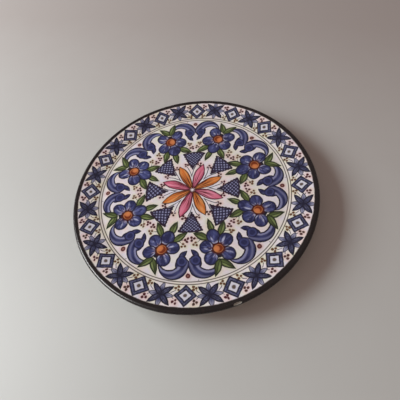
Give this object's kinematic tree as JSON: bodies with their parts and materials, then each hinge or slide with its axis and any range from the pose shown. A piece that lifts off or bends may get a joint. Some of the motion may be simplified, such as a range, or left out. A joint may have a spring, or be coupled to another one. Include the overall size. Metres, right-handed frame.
{
  "type": "ceramic wall plate",
  "caption": "Round glazed earthenware wall plate: level well, low flange, rounded black lip, foot ring with wire holes, hand-painted face.",
  "frame": {"origin": "centre of the circle on which the foot ring stands, at the bottom of the plate", "axes": "+Z out of the painted face, up as the plate lies; +Y towards the side that is up when it hangs by the two wire holes; +X to the right as the face is seen from above"},
  "size_m": [0.28, 0.28, 0.022],
  "materials": {
    "glazed_earthenware": "glossy clear glaze over warm off-white ground, painted in cobalt, green, orange, pink and red-brown, with a glossy black lip"
  },
  "bodies": {
    "root": {"plate": "glazed_earthenware"}
  },
  "joints": []
}
